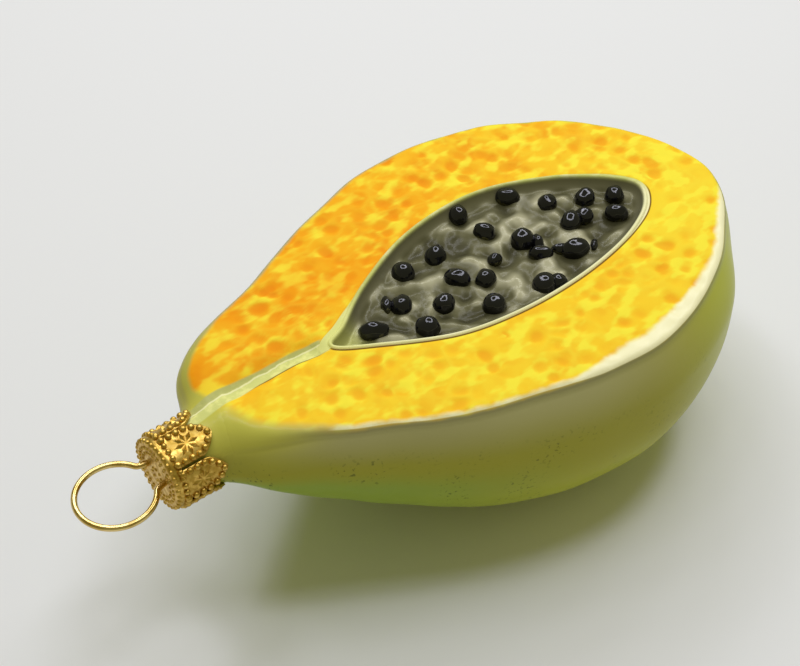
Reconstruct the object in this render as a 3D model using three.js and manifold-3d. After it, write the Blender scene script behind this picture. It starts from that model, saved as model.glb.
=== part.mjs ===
// Blown glass hanging ornament in the shape of a halved papaya, lying on its rind with the cut face up.
// Three pieces: the hollow glass fruit with its neck, the stamped metal cap and the sprung wire hanger.
// Millimetres, +Z up. The fruit is drawn with x = 0 at the stem end, x growing towards the blossom end,
// y across it and z = 0 on the cut face. The finished group stands on z = 0 with its middle over the origin.
import * as THREE from 'three';
import { mergeVertices } from 'three/addons/utils/BufferGeometryUtils.js';
import Module from 'manifold-3d';

// Cut face: outlines of its rim and of the seed hollow in it, as [x, y]. Each starts at the blossom end and
// runs by the +y side to the stem end and back.
const RIM = [
  [94.2, -2.4], [93, 4.2], [90.3, 10.1], [86.8, 15.1], [82.8, 19.4], [77.7, 22.6], [72.5, 25.7],
  [66.4, 27.5], [59.8, 28.9], [52.8, 29], [46.6, 28.4], [39.9, 26.3], [33.4, 24.2], [26.4, 21.2],
  [19.7, 18.2], [12.6, 16], [8.2, 14.5], [4.7, 12.8], [2.2, 10.7], [0.8, 7.4], [0.5, 3], [1.2, -2],
  [3.3, -6.2], [6.8, -9.3], [11, -11.8], [15.7, -14.8], [20, -17], [26, -20.5], [33, -23.4],
  [40.3, -25.5], [46.9, -27.4], [53.4, -28.4], [59.9, -28.8], [66, -27.8], [72, -25.8], [77.8, -22.9],
  [82, -20.2], [86, -16.6], [90.6, -11.9], [93.4, -6.9],
];
const HOLLOW = [
  [82.8, -0.8], [80.3, 2.3], [76.5, 5.4], [71.8, 8.5], [63, 12.3], [54.5, 13.2], [44.2, 11.6], [33.5, 7],
  [26.3, 2.3], [22.8, 0.2], [28.3, -3.6], [38.6, -8.9], [49, -10.9], [60, -10.9], [70, -9.3], [77.3, -6.6],
  [81.4, -3.8],
];
const HOLLOW_STEM_X = 22.8;
const HOLLOW_MIDDLE = [53, -4.5];
const HOLLOW_DEPTH = 2.6;
const LIP_WIDTH = 1.4;
const LIP_RISE = 0.4;

// Rounding of the rim, fuller towards the stem end
const EDGE_RADIUS = 1.3;
const STEM_ROUNDING = 2;
const STEM_ROUNDING_REACH = 16;

// Stem groove from the seed hollow to the neck, and the dip of the face into the neck
const GROOVE_DEPTH = 1.1;
const GROOVE_HALF_WIDTH = 2;
const GROOVE_DRIFT = 2.2;
const GROOVE_DRIFT_FROM = -0.25;
const GROOVE_DRIFT_FULL = 0.3;
const GROOVE_FADE = 0.15;
const DIP_DEPTH = 2.2;
const DIP_REACH = 10;

// Rind: how far it swells past the rim, how its stem end lies back under the face, how deep it is and how it
// rises towards the stem
const BULGE = 3.2;
const BULGE_FROM = 5;
const BULGE_FULL = 45;
const BULGE_LOSS = 0.6;
const BULGE_LOSS_FROM = 76;
const BULGE_LOSS_FULL = 92;
const STEM_BEND = 3.1;
const STEM_BEND_REACH = 27;
const SIDE_DEPTH = 7.2;
const DEPTH = 34;
const FULLNESS = 2.7;
const FOOT_X = 50;
const FOOT_SHARE = 0.25;
const FOOT_CORNERS = 4;
const FOOT_WAIST = 0.04;
const STEM_RISE = 0.6;
const WALL = 1.2;

// Mesh steps round the fruit, with smaller ones near the stem groove
const OUTER_STEPS = 72;
const INNER_STEPS = 32;
const STEM_CROWDING = 0.5;
const WELD = 0.06;
const FLAT = 0.01;
const FLAT_PASSES = 4;

// Seeds standing in the hollow, as [x, y] on the face
const SEED_SIZE = [1.75, 1.6, 1.75];
const SEED_HEIGHT = -1.9;
const SEEDS = [
  [41, 7.2], [56, 12.3], [65, 10.8], [68.5, 5.5], [74.2, 2.9], [78.6, 0.7], [75.8, -2.6], [69.5, 0],
  [64.8, -4.8], [60.2, 1.7], [60, -2.8], [56.7, -8.5], [56.6, 6.5], [47.3, 7.3], [46.5, 1.2], [49.9, -1.5],
  [47.5, -6.4], [41.7, -1.4], [36.8, 2.5], [36.7, -4.3], [29.9, -0.1], [53.3, 1.4], [68.1, -6],
];

// Neck, cap and hanger share one axis along x
const AXIS_Z = -6.05;
const NECK_RADIUS = 4.7;
const NECK_BORE = 3.6;
const NECK_START = -7.2;
const NECK_ROOT = 4;
const NECK_SIDES = 30;
const CAP_END = -8.2;
const CAP_LENGTH = 8.4;
const CAP_RADIUS = 5.6;
const CAP_SHEET = 0.4;
const CAP_CORNER = 0.8;
const CAP_SIDES = 60;
const TAB_COUNT = 6;
const TAB_TURN = 18;
const SLIT_WIDTH = 0.4;
const SLIT_START = 1.4;
const TAB_SHOULDER = 5.7;
const TAB_BEND = 6.6;
const WIRE_RADIUS = 0.47;
const WIRE_HOLE_RADIUS = 0.85;
const WIRE_HOLE_Y = 2.2;
const WIRE_Z = AXIS_Z + 0.5;
const LOOP_RADIUS = 5.7;
const LOOP_MOUTH = 2.6;
const LOOP_CLEARANCE = 1.6;
const LOOP_POINTS = 22;
const LEG = [[15, 6.5], [9, 4.4], [2, 2.7], [-5.7, 2.2]];
const WIRE_STEPS = 72;

const wasm = await Module();
wasm.setup();

// Solids for cutting and joining, from a geometry and back to one
function solid(geometry) {
  const bare = geometry.clone();
  bare.deleteAttribute('normal');
  bare.deleteAttribute('uv');
  const merged = mergeVertices(bare, 1e-4);
  const mesh = new wasm.Mesh({
    numProp: 3,
    vertProperties: new Float32Array(merged.attributes.position.array),
    triVerts: new Uint32Array(merged.index.array),
  });
  return new wasm.Manifold(mesh);
}

// A face as flat as a line goes when its longest edge is turned to join the corners on either side of it
function turnFlatFaces(faces, places) {
  const place = (corner) => new THREE.Vector3().fromBufferAttribute(places, corner);
  const faceOf = new Map();
  const note = (index) => {
    faces[index].forEach((from, side) => faceOf.set(`${from} ${faces[index][(side + 1) % 3]}`, index));
  };
  faces.forEach((face, index) => note(index));
  faces.forEach((face, index) => {
    const lengths = face.map((from, side) => place(from).distanceTo(place(face[(side + 1) % 3])));
    const side = lengths.indexOf(Math.max(...lengths));
    const [from, to, apex] = [0, 1, 2].map((step) => face[(side + step) % 3]);
    const area = new THREE.Triangle(place(from), place(to), place(apex)).getArea();
    if (2 * area / lengths[side] > FLAT) return;
    const across = faceOf.get(`${to} ${from}`);
    const far = faces[across].find((corner) => corner !== from && corner !== to);
    if (faceOf.has(`${apex} ${far}`) || faceOf.has(`${far} ${apex}`)) return;
    faceOf.delete(`${from} ${to}`);
    faceOf.delete(`${to} ${from}`);
    faces[index] = [from, far, apex];
    faces[across] = [far, to, apex];
    note(index);
    note(across);
  });
}

// The slivers that a cut leaves are closed up: corners within the weld distance become one, twice over so
// that none is missed at the edge of a rounding step, and the faces this flattens are dropped.
function geometryOf(body) {
  const mesh = body.getMesh();
  let geometry = new THREE.BufferGeometry();
  geometry.setAttribute('position', new THREE.BufferAttribute(mesh.vertProperties, 3));
  geometry.setIndex(new THREE.BufferAttribute(mesh.triVerts, 1));
  for (const shift of [WELD / 2, -WELD / 2]) {
    geometry.translate(shift, shift, shift);
    geometry = mergeVertices(geometry, WELD);
  }
  const corners = Array.from(geometry.index.array);
  const faces = [];
  for (let first = 0; first < corners.length; first += 3) faces.push(corners.slice(first, first + 3));
  const key = (face) => face.toSorted().join(' ');
  const doubled = new Map();
  for (const face of faces) doubled.set(key(face), (doubled.get(key(face)) ?? 0) + 1);
  const solidFaces = faces.filter((face) => new Set(face).size === 3 && doubled.get(key(face)) === 1);
  for (let pass = 0; pass < FLAT_PASSES; pass += 1) turnFlatFaces(solidFaces, geometry.attributes.position);
  geometry.setIndex(solidFaces.flat());
  geometry.computeVertexNormals();
  return geometry;
}

// Closed outlines on the face, starting at the blossom end and running round by the +y side
function outline(points) {
  const places = points.map(([x, y]) => new THREE.Vector3(x, y, 0));
  return new THREE.CatmullRomCurve3(places, true, 'catmullrom', 0.5);
}

const rimCurve = outline(RIM);
const hollowCurve = outline(HOLLOW);

// A point of an outline moved outwards by a distance
function offsetPoint(curve, turn, distance) {
  const crowding = STEM_CROWDING * Math.sin(2 * Math.PI * turn) / (2 * Math.PI);
  const share = THREE.MathUtils.euclideanModulo(turn + crowding, 1);
  const point = curve.getPointAt(share);
  const along = curve.getTangentAt(share);
  return point.add(new THREE.Vector3(along.y, -along.x, 0).multiplyScalar(distance));
}

// How far the face dips into the neck
function neckDip(x) {
  return DIP_DEPTH * Math.max(0, 1 - x / DIP_REACH) ** 2;
}

// Height of the cut face, with the stem groove and the dip into the neck
function faceHeight(x, y) {
  const stem = THREE.MathUtils.clamp(1 - x / HOLLOW_STEM_X, 0, 1);
  const middle = GROOVE_DRIFT * THREE.MathUtils.smoothstep(stem, GROOVE_DRIFT_FROM, GROOVE_DRIFT_FULL);
  const across = (y - middle) / GROOVE_HALF_WIDTH;
  const onStem = THREE.MathUtils.smoothstep(stem, 0, GROOVE_FADE);
  return -neckDip(x) - GROOVE_DEPTH * onStem * Math.exp(-across * across);
}

function edgeRadius(x) {
  return EDGE_RADIUS + STEM_ROUNDING * Math.max(0, 1 - x / STEM_ROUNDING_REACH) ** 2;
}

// Depth of the rind below the face, shallower towards the stem
function depthShare(x) {
  return 1 - STEM_RISE * Math.max(0, 1 - x / FOOT_X) ** 2;
}

// Rings of the fruit's skin, from the middle of the seed hollow out over the face and down to the foot.
// Each takes a turn from 0 to 1 and how far inside the outer skin it lies.
function floorRing(share) {
  return (turn, inset) => {
    const edge = offsetPoint(hollowCurve, turn, inset);
    const depth = HOLLOW_DEPTH * (1 - share ** 12 / 2);
    const [x, y] = HOLLOW_MIDDLE;
    return [x + (edge.x - x) * share, y + (edge.y - y) * share, -depth - inset];
  };
}

function lipRing(share) {
  return (turn, inset) => {
    const point = offsetPoint(hollowCurve, turn, inset + share * LIP_WIDTH);
    const rise = LIP_RISE * (1 - share);
    return [point.x, point.y, faceHeight(point.x, point.y) + rise - inset];
  };
}

function fleshRing(share) {
  return (turn, inset) => {
    const from = offsetPoint(hollowCurve, turn, inset + LIP_WIDTH);
    const radius = edgeRadius(offsetPoint(rimCurve, turn, 0).x);
    const point = from.lerp(offsetPoint(rimCurve, turn, -inset - radius), share);
    return [point.x, point.y, faceHeight(point.x, point.y) - inset];
  };
}

function edgeRing(angle) {
  return (turn, inset) => {
    const radius = edgeRadius(offsetPoint(rimCurve, turn, 0).x);
    const point = offsetPoint(rimCurve, turn, -inset - radius * (1 - Math.sin(angle)));
    const drop = radius * (1 - Math.cos(angle));
    return [point.x, point.y, faceHeight(point.x, point.y) - drop - inset];
  };
}

function beltHeight(x) {
  return -neckDip(x) - edgeRadius(x) - SIDE_DEPTH * depthShare(x);
}

function beltPoint(turn, inset, share) {
  const rim = offsetPoint(rimCurve, turn, 0);
  const eased = 1 - (1 - share) ** 2;
  const kept = 1 - BULGE_LOSS * THREE.MathUtils.smoothstep(rim.x, BULGE_LOSS_FROM, BULGE_LOSS_FULL);
  const swell = BULGE * kept * THREE.MathUtils.smoothstep(rim.x, BULGE_FROM, BULGE_FULL);
  const point = offsetPoint(rimCurve, turn, swell * eased - inset);
  point.y -= STEM_BEND * eased * Math.max(0, 1 - rim.x / STEM_BEND_REACH);
  return point;
}

function beltRing(share) {
  return (turn, inset) => {
    const point = beltPoint(turn, inset, share);
    const radius = edgeRadius(offsetPoint(rimCurve, turn, 0).x);
    const top = -neckDip(point.x) - radius - inset * (1 - share);
    return [point.x, point.y, THREE.MathUtils.lerp(top, beltHeight(point.x), share)];
  };
}

function bellyRing(angle) {
  return (turn, inset) => {
    const belt = beltPoint(turn, inset, 1);
    const reach = Math.cos(angle) ** (2 / FULLNESS);
    const x = FOOT_X + (belt.x - FOOT_X) * reach;
    const bottom = inset - DEPTH * depthShare(x);
    const sink = Math.sin(angle) ** (2 / FULLNESS);
    return [x, belt.y * reach, THREE.MathUtils.lerp(beltHeight(x), bottom, sink)];
  };
}

// The flat foot has a few plain corners, with its sides drawn in a little between them, so it lies steady
function footRing(share) {
  return (turn, inset) => {
    const side = Math.floor(turn * FOOT_CORNERS);
    const along = turn * FOOT_CORNERS - side;
    const corner = beltPoint(side / FOOT_CORNERS, inset, 1);
    const point = corner.lerp(beltPoint((side + 1) / FOOT_CORNERS, inset, 1), along);
    const reach = share * (1 - FOOT_WAIST * Math.sin(Math.PI * along));
    return [FOOT_X + (point.x - FOOT_X) * reach, point.y * reach, inset - DEPTH];
  };
}

const degrees = THREE.MathUtils.degToRad;
const SKIN = [
  ...[0, 0.4, 0.75, 0.94].map(floorRing),
  ...[0, 1].map(lipRing),
  ...[0.33, 0.67].map(fleshRing),
  ...[0, 35, 90].map(degrees).map(edgeRing),
  ...[0.35, 1].map(beltRing),
  ...[11, 22, 33, 44, 55, 65, 74].map(degrees).map(bellyRing),
  ...[FOOT_SHARE, 0].map(footRing),
];

// A sphere whose rows become the skin's rings
function skin(steps, inset) {
  const geometry = new THREE.SphereGeometry(1, steps, SKIN.length - 1);
  const places = geometry.attributes.position;
  for (let row = 0; row < SKIN.length; row += 1) {
    for (let step = 0; step <= steps; step += 1) {
      places.setXYZ(row * (steps + 1) + step, ...SKIN[row]((step % steps) / steps, inset));
    }
  }
  return geometry;
}

// A turned shape on the cap's axis, from points of [x, radius]
function turned(points, sides) {
  const profile = points.map(([x, radius]) => new THREE.Vector2(radius, x));
  const geometry = new THREE.LatheGeometry(profile, sides);
  geometry.rotateZ(-Math.PI / 2);
  geometry.translate(0, 0, AXIS_Z);
  return geometry;
}

function rod(from, to, radius) {
  return [[from, 0], [from, radius], [to, radius], [to, 0]];
}

function seed([x, y]) {
  const geometry = new THREE.SphereGeometry(1, 8, 6);
  geometry.scale(...SEED_SIZE);
  geometry.translate(x, y, SEED_HEIGHT);
  return geometry;
}

// Glass fruit: the skin and neck with the seeds standing on it, hollow right through to the neck's mouth
function fruitGeometry() {
  const neck = turned(rod(NECK_START, NECK_ROOT, NECK_RADIUS), NECK_SIDES);
  const bore = turned(rod(NECK_START - 1, NECK_ROOT, NECK_BORE), NECK_SIDES);
  let body = solid(skin(OUTER_STEPS, 0)).add(solid(neck));
  for (const place of SEEDS) body = body.add(solid(seed(place)));
  return geometryOf(body.subtract(solid(skin(INNER_STEPS, WALL))).subtract(solid(bore)));
}

// Cap: a cup of thin sheet whose wall is slit into tabs with pointed ends
function capCup() {
  const inner = CAP_RADIUS - CAP_SHEET;
  const open = CAP_END + CAP_LENGTH;
  const round = CAP_CORNER * (1 - Math.SQRT1_2);
  const outside = [
    [CAP_END, 0], [CAP_END, CAP_RADIUS - CAP_CORNER], [CAP_END + round, CAP_RADIUS - round],
    [CAP_END + CAP_CORNER, CAP_RADIUS], [open, CAP_RADIUS],
  ];
  const inside = [
    [open, inner], [CAP_END + CAP_CORNER, inner], [CAP_END + CAP_SHEET, inner - CAP_CORNER + CAP_SHEET],
    [CAP_END + CAP_SHEET, 0],
  ];
  return turned([...outside, ...inside], CAP_SIDES);
}

// Gap between two tabs, cut straight in towards the axis
function tabGap(index) {
  const wide = CAP_RADIUS * Math.sin(Math.PI / TAB_COUNT);
  const slit = SLIT_WIDTH / 2;
  const past = CAP_LENGTH + 1;
  const shape = new THREE.Shape();
  shape.moveTo(SLIT_START, -slit);
  shape.lineTo(TAB_SHOULDER, -slit);
  shape.quadraticCurveTo(TAB_BEND, -wide / 2, CAP_LENGTH, -wide);
  shape.lineTo(past, -wide);
  shape.lineTo(past, wide);
  shape.lineTo(CAP_LENGTH, wide);
  shape.quadraticCurveTo(TAB_BEND, wide / 2, TAB_SHOULDER, slit);
  shape.lineTo(SLIT_START, slit);
  const cut = { depth: CAP_RADIUS, bevelEnabled: false, curveSegments: 5 };
  const geometry = new THREE.ExtrudeGeometry(shape, cut);
  geometry.translate(CAP_END, 0, CAP_RADIUS / 2);
  geometry.rotateX(degrees(TAB_TURN + (index + 0.5) * 360 / TAB_COUNT));
  geometry.translate(0, 0, AXIS_Z);
  return geometry;
}

function capGeometry() {
  let cap = solid(capCup());
  for (let index = 0; index < TAB_COUNT; index += 1) cap = cap.subtract(solid(tabGap(index)));
  for (const side of [-1, 1]) {
    const hole = new THREE.CylinderGeometry(WIRE_HOLE_RADIUS, WIRE_HOLE_RADIUS, 4, 16);
    hole.rotateZ(Math.PI / 2);
    hole.translate(CAP_END, side * WIRE_HOLE_Y, WIRE_Z);
    cap = cap.subtract(solid(hole));
  }
  return geometryOf(cap);
}

// Hanger: one wire, bent to a ring outside the cap, whose two legs spring apart inside the neck
function hangerGeometry() {
  const ringStart = Math.PI - Math.asin(LOOP_MOUTH / LOOP_RADIUS);
  const ringX = CAP_END - LOOP_CLEARANCE + LOOP_RADIUS * Math.cos(ringStart);
  const leg = [...LEG, [CAP_END, WIRE_HOLE_Y]];
  const route = leg.map(([x, y]) => new THREE.Vector3(x, y, WIRE_Z));
  for (let step = 0; step <= LOOP_POINTS; step += 1) {
    const angle = THREE.MathUtils.lerp(ringStart, -ringStart, step / LOOP_POINTS);
    const x = ringX - LOOP_RADIUS * Math.cos(angle);
    route.push(new THREE.Vector3(x, LOOP_RADIUS * Math.sin(angle), WIRE_Z));
  }
  for (const [x, y] of leg.slice().reverse()) route.push(new THREE.Vector3(x, -y, WIRE_Z));
  const section = new THREE.Shape();
  section.absarc(0, 0, WIRE_RADIUS, 0, 2 * Math.PI);
  const path = new THREE.CatmullRomCurve3(route, false, 'centripetal');
  const sweep = { steps: WIRE_STEPS, extrudePath: path, curveSegments: 4, bevelEnabled: false };
  return new THREE.ExtrudeGeometry(section, sweep);
}

const paintedGlass = new THREE.MeshStandardMaterial({ color: '#f2c234', roughness: 0.2, metalness: 0 });
const goldSheet = new THREE.MeshStandardMaterial({ color: '#c99a3a', roughness: 0.3, metalness: 1 });
const goldWire = new THREE.MeshStandardMaterial({ color: '#d2ad55', roughness: 0.2, metalness: 1 });

function piece(name, geometry, material) {
  const mesh = new THREE.Mesh(geometry, material);
  mesh.name = name;
  return mesh;
}

const ornament = new THREE.Group();
ornament.add(
  piece('glass_fruit', fruitGeometry(), paintedGlass),
  piece('crown_cap', capGeometry(), goldSheet),
  piece('hanger_wire', hangerGeometry(), goldWire),
);
const box = new THREE.Box3().setFromObject(ornament);
ornament.position.set(-(box.min.x + box.max.x) / 2, -(box.min.y + box.max.y) / 2, -box.min.z);

export default ornament;
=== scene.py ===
# %% [markdown]
# # A blown glass papaya half
#
# This lesson dresses a hanging glass ornament: a papaya cut in half, blown and moulded as one hollow piece,
# with a stamped gold cap over its neck and a wire ring to hang it by. The solid parts come in as a fixed
# frame, and every piece made here is placed from that frame.

# %% The shared frame
import math

import bmesh
import bpy
import numpy as np
from mathutils import Matrix, Vector, noise
from mathutils.kdtree import KDTree


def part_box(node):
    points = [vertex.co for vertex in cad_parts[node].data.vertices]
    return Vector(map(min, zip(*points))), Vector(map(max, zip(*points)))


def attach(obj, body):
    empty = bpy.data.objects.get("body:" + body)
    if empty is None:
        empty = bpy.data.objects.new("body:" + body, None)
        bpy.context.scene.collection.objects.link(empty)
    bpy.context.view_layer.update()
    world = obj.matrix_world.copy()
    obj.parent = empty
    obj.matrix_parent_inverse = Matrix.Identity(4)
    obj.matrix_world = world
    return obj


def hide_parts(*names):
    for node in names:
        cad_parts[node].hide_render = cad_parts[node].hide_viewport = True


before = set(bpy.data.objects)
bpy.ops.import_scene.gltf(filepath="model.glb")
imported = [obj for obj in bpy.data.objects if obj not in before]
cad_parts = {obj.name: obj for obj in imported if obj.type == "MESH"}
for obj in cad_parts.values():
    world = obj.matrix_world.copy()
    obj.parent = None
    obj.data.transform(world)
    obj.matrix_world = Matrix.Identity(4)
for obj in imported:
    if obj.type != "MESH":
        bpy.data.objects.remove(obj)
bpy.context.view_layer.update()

MM = 0.001
print("solid pieces:", sorted(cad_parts))

# %% [markdown]
# The fruit is drawn in millimetres in a frame of its own: x runs from the stem end to the blossom end, y
# across, and z is 0 on the cut face. Three places tie that frame to the shared one: the mouth of the solid
# fruit's neck, the foot it lies on, and the middle of the cap, which sits on the neck's axis.

# %% The fruit's own frame
NECK_MOUTH, RIND_DEPTH = -7.2, 34.0
glass_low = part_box("glass_fruit")[0]
cap_middle = (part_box("crown_cap")[0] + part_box("crown_cap")[1]) / 2
FRUIT_ORIGIN = Vector((glass_low.x - NECK_MOUTH * MM, cap_middle.y, glass_low.z + RIND_DEPTH * MM))


def in_frame(x, y, z):
    """A point of the fruit's frame, in millimetres, as a point of the shared frame."""
    return FRUIT_ORIGIN + Vector((x, y, z)) * MM


print("stem end of the cut face at", [round(v, 4) for v in FRUIT_ORIGIN])

# %% [markdown]
# The camera looks down on the cut face from the near left, through a long lens. Its direction was worked
# out from the symmetry of the fruit's outline. A camera looks along its own -Z, so its turn is the matrix
# whose columns are the picture's right, the picture's up and the way back to the camera.

# %% Camera
CAMERA_TURN = math.radians(-38.1)
CAMERA_RISE = math.radians(45.7)
CAMERA_LENS = 81.0
CAMERA_RANGE = 261.8
CAMERA_AIM = (31.9, -3.8, 0.0)


def add_camera():
    right = Vector((math.cos(CAMERA_TURN), math.sin(CAMERA_TURN), 0.0))
    back = Vector((
        math.sin(CAMERA_TURN) * math.cos(CAMERA_RISE),
        -math.cos(CAMERA_TURN) * math.cos(CAMERA_RISE),
        math.sin(CAMERA_RISE),
    ))
    data = bpy.data.cameras.new("camera")
    data.sensor_width = 36.0
    data.lens = CAMERA_LENS
    data.clip_start = 0.01
    camera = bpy.data.objects.new("camera", data)
    turn = Matrix((right, back.cross(right), back)).transposed().to_4x4()
    camera.matrix_world = Matrix.Translation(in_frame(*CAMERA_AIM) + back * CAMERA_RANGE * MM) @ turn
    bpy.context.collection.objects.link(camera)
    bpy.context.scene.camera = camera
    return camera


camera = add_camera()
print("camera at", [round(v, 3) for v in camera.matrix_world.translation])

# %% [markdown]
# ## Shader helpers
#
# A painted finish is a stack of colours, each let through by a mask. A few short helpers keep that
# readable: they add a node, join it up and hand back its output.

# %% Shader helpers
class Finish:
    """A material being put together node by node."""

    def __init__(self, name):
        self.material = bpy.data.materials.new(name)
        self.material.use_nodes = True
        self.tree = self.material.node_tree
        self.shader = self.tree.nodes["Principled BSDF"]
        self.object_place = self.node("ShaderNodeTexCoord").outputs["Object"]

    def node(self, kind, **settings):
        made = self.tree.nodes.new(kind)
        for key, value in settings.items():
            setattr(made, key, value)
        return made

    def feed(self, socket, value):
        if isinstance(value, bpy.types.NodeSocket):
            self.tree.links.new(value, socket)
        elif isinstance(value, tuple) and len(value) == 3 and socket.type == "RGBA":
            socket.default_value = (*value, 1.0)
        else:
            socket.default_value = value

    def attribute(self, name):
        return self.node("ShaderNodeAttribute", attribute_name=name).outputs["Fac"]

    def maths(self, operation, a, b=0.0):
        made = self.node("ShaderNodeMath", operation=operation)
        self.feed(made.inputs[0], a)
        self.feed(made.inputs[1], b)
        return made.outputs[0]

    def times(self, a, b):
        return self.maths("MULTIPLY", a, b)

    def plus(self, a, b):
        return self.maths("ADD", a, b)

    def minus(self, a, b):
        return self.maths("SUBTRACT", a, b)

    def fade(self, value, low, high, start=0.0, end=1.0):
        """A smooth change from start to end as value goes from low to high."""
        made = self.node("ShaderNodeMapRange", interpolation_type="SMOOTHSTEP")
        for socket, number in zip(made.inputs[:5], (value, low, high, start, end)):
            self.feed(socket, number)
        return made.outputs[0]

    def band(self, value, middle, half, soft):
        """A mask that is 1 within half of middle and fades out over soft."""
        away = self.maths("ABSOLUTE", self.minus(value, middle))
        return self.fade(away, half, half + soft, 1.0, 0.0)

    def mix(self, mask, below, above):
        made = self.node("ShaderNodeMix", data_type="RGBA")
        self.feed(made.inputs[0], mask)
        self.feed(made.inputs[6], below)
        self.feed(made.inputs[7], above)
        return made.outputs[2]

    def blend(self, mask, below, above):
        made = self.node("ShaderNodeMix", data_type="FLOAT")
        self.feed(made.inputs[0], mask)
        self.feed(made.inputs[2], below)
        self.feed(made.inputs[3], above)
        return made.outputs[0]

    def clouds(self, size_mm, detail=3.0, stretch=(1.0, 1.0, 1.0)):
        """Soft noise whose blotches are about size_mm across."""
        mapping = self.node("ShaderNodeMapping")
        self.feed(mapping.inputs["Vector"], self.object_place)
        mapping.inputs["Scale"].default_value = stretch
        made = self.node("ShaderNodeTexNoise")
        self.feed(made.inputs["Vector"], mapping.outputs[0])
        made.inputs["Scale"].default_value = 1.0 / (size_mm * MM)
        made.inputs["Detail"].default_value = detail
        return made.outputs["Fac"]

    def bump(self, height, strength, distance_mm):
        made = self.node("ShaderNodeBump")
        made.inputs["Strength"].default_value = strength
        made.inputs["Distance"].default_value = distance_mm * MM
        self.feed(made.inputs["Height"], height)
        self.feed(self.shader.inputs["Normal"], made.outputs[0])

    def set(self, **values):
        for name, value in values.items():
            self.feed(self.shader.inputs[name.replace("_", " ")], value)


print("shader helpers ready")

# %% [markdown]
# ## The cut face's outlines
#
# The rim of the cut face and the edge of the seed hollow are closed smooth curves through a few chosen
# points. Both start at the blossom end and run by the far side to the stem. Points are read off them by
# length, a little crowded near the stem, where the groove needs them.

# %% Outlines
RIM = [
    (94.2, -2.4), (93, 4.2), (90.3, 10.1), (86.8, 15.1), (82.8, 19.4), (77.7, 22.6), (72.5, 25.7),
    (66.4, 27.5), (59.8, 28.9), (52.8, 29), (46.6, 28.4), (39.9, 26.3), (33.4, 24.2), (26.4, 21.2),
    (19.7, 18.2), (12.6, 16), (8.2, 14.5), (4.7, 12.8), (2.2, 10.7), (0.8, 7.4), (0.5, 3),
    (1.2, -2), (3.3, -6.2), (6.8, -9.3), (11, -11.8), (15.7, -14.8), (20, -17), (26, -20.5),
    (33, -23.4), (40.3, -25.5), (46.9, -27.4), (53.4, -28.4), (59.9, -28.8), (66, -27.8), (72, -25.8),
    (77.8, -22.9), (82, -20.2), (86, -16.6), (90.6, -11.9), (93.4, -6.9),
]
HOLLOW = [
    (81.7, -0.9), (79.7, 2.3), (76.3, 5.4), (71.8, 8.5), (63, 12.3), (54.5, 13.2), (44.2, 11.6), (33.5, 7),
    (26.3, 2.3), (22.8, 0.2), (28.3, -3.6), (38.6, -8.9), (49, -10.9), (60, -10.9), (70, -9.3), (76.9, -6.7),
    (80.5, -3.9),
]
AROUND = 440
STEM_CROWDING = 0.5
CURVE_STEPS = 60


class Outline:
    """A closed smooth curve through points, with its outward directions, at AROUND places by length."""

    def __init__(self, points):
        points = np.array(points, float)
        before, after, beyond = np.roll(points, 1, 0), np.roll(points, -1, 0), np.roll(points, -2, 0)
        start, end = (after - before) / 2, (beyond - points) / 2
        w = np.linspace(0, 1, CURVE_STEPS, endpoint=False)[None, :, None]
        p, q, s, e = (a[:, None, :] for a in (points, after, start, end))
        curve = (2 * p - 2 * q + s + e) * w**3 + (3 * q - 3 * p - 2 * s - e) * w**2 + s * w + p
        curve = curve.reshape(-1, 2)
        closed = np.vstack([curve, curve[:1]])
        length = np.concatenate([[0], np.cumsum(np.linalg.norm(np.diff(closed, axis=0), axis=1))])
        turn = np.arange(AROUND) / AROUND
        share = (turn + STEM_CROWDING * np.sin(2 * np.pi * turn) / (2 * np.pi)) % 1
        self.places = np.column_stack([np.interp(share * length[-1], length, closed[:, k]) for k in (0, 1)])
        along = np.roll(curve, -1, 0) - np.roll(curve, 1, 0)
        along = np.vstack([along, along[:1]])
        along = np.column_stack([np.interp(share * length[-1], length, along[:, k]) for k in (0, 1)])
        along /= np.linalg.norm(along, axis=1, keepdims=True)
        self.outward = np.column_stack([along[:, 1], -along[:, 0]])

    def moved(self, distance):
        return self.places + self.outward * np.reshape(distance, (-1, 1))


rim = Outline(RIM)
hollow = Outline(HOLLOW)
print("rim is", round(float(np.ptp(rim.places[:, 0])), 1), "mm long")

# %% [markdown]
# ## The glass fruit
#
# The fruit is one skin, made of rings. From the middle of the seed hollow outwards they are, in turn, the
# hollow's floor, the lip round it, the flesh, the rounded rim, the swelling side and the belly down to the
# flat foot. A sculpted ball would blur the edges, and rings keep the lip and the rim sharp all the way
# round. First come the rules that every ring follows: towards the stem the face dips, the rim is rounder
# and the rind is shallower.

# %% Profile of the skin
EDGE_RADIUS, STEM_ROUNDING, STEM_ROUNDING_REACH = 1.3, 2.0, 16.0
DIP_DEPTH, DIP_REACH = 2.2, 10.0
SIDE_DEPTH, STEM_RISE, FOOT_X = 7.2, 0.6, 50.0


def smoothstep(value, low, high):
    t = np.clip((value - low) / (high - low), 0, 1)
    return t * t * (3 - 2 * t)


def neck_dip(x):
    return DIP_DEPTH * np.maximum(0, 1 - x / DIP_REACH) ** 2


def edge_radius(x):
    return EDGE_RADIUS + STEM_ROUNDING * np.maximum(0, 1 - x / STEM_ROUNDING_REACH) ** 2


def depth_share(x):
    return 1 - STEM_RISE * np.maximum(0, 1 - x / FOOT_X) ** 2


def belt_height(x):
    return -neck_dip(x) - edge_radius(x) - SIDE_DEPTH * depth_share(x)


def ring(plan, height, from_hollow, from_rim):
    """One ring of the skin: its places, and how far it lies outside the hollow's edge and the rim."""
    height, from_hollow, from_rim = (np.broadcast_to(v, AROUND) for v in (height, from_hollow, from_rim))
    return np.column_stack([plan, height, from_hollow, from_rim])


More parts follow.
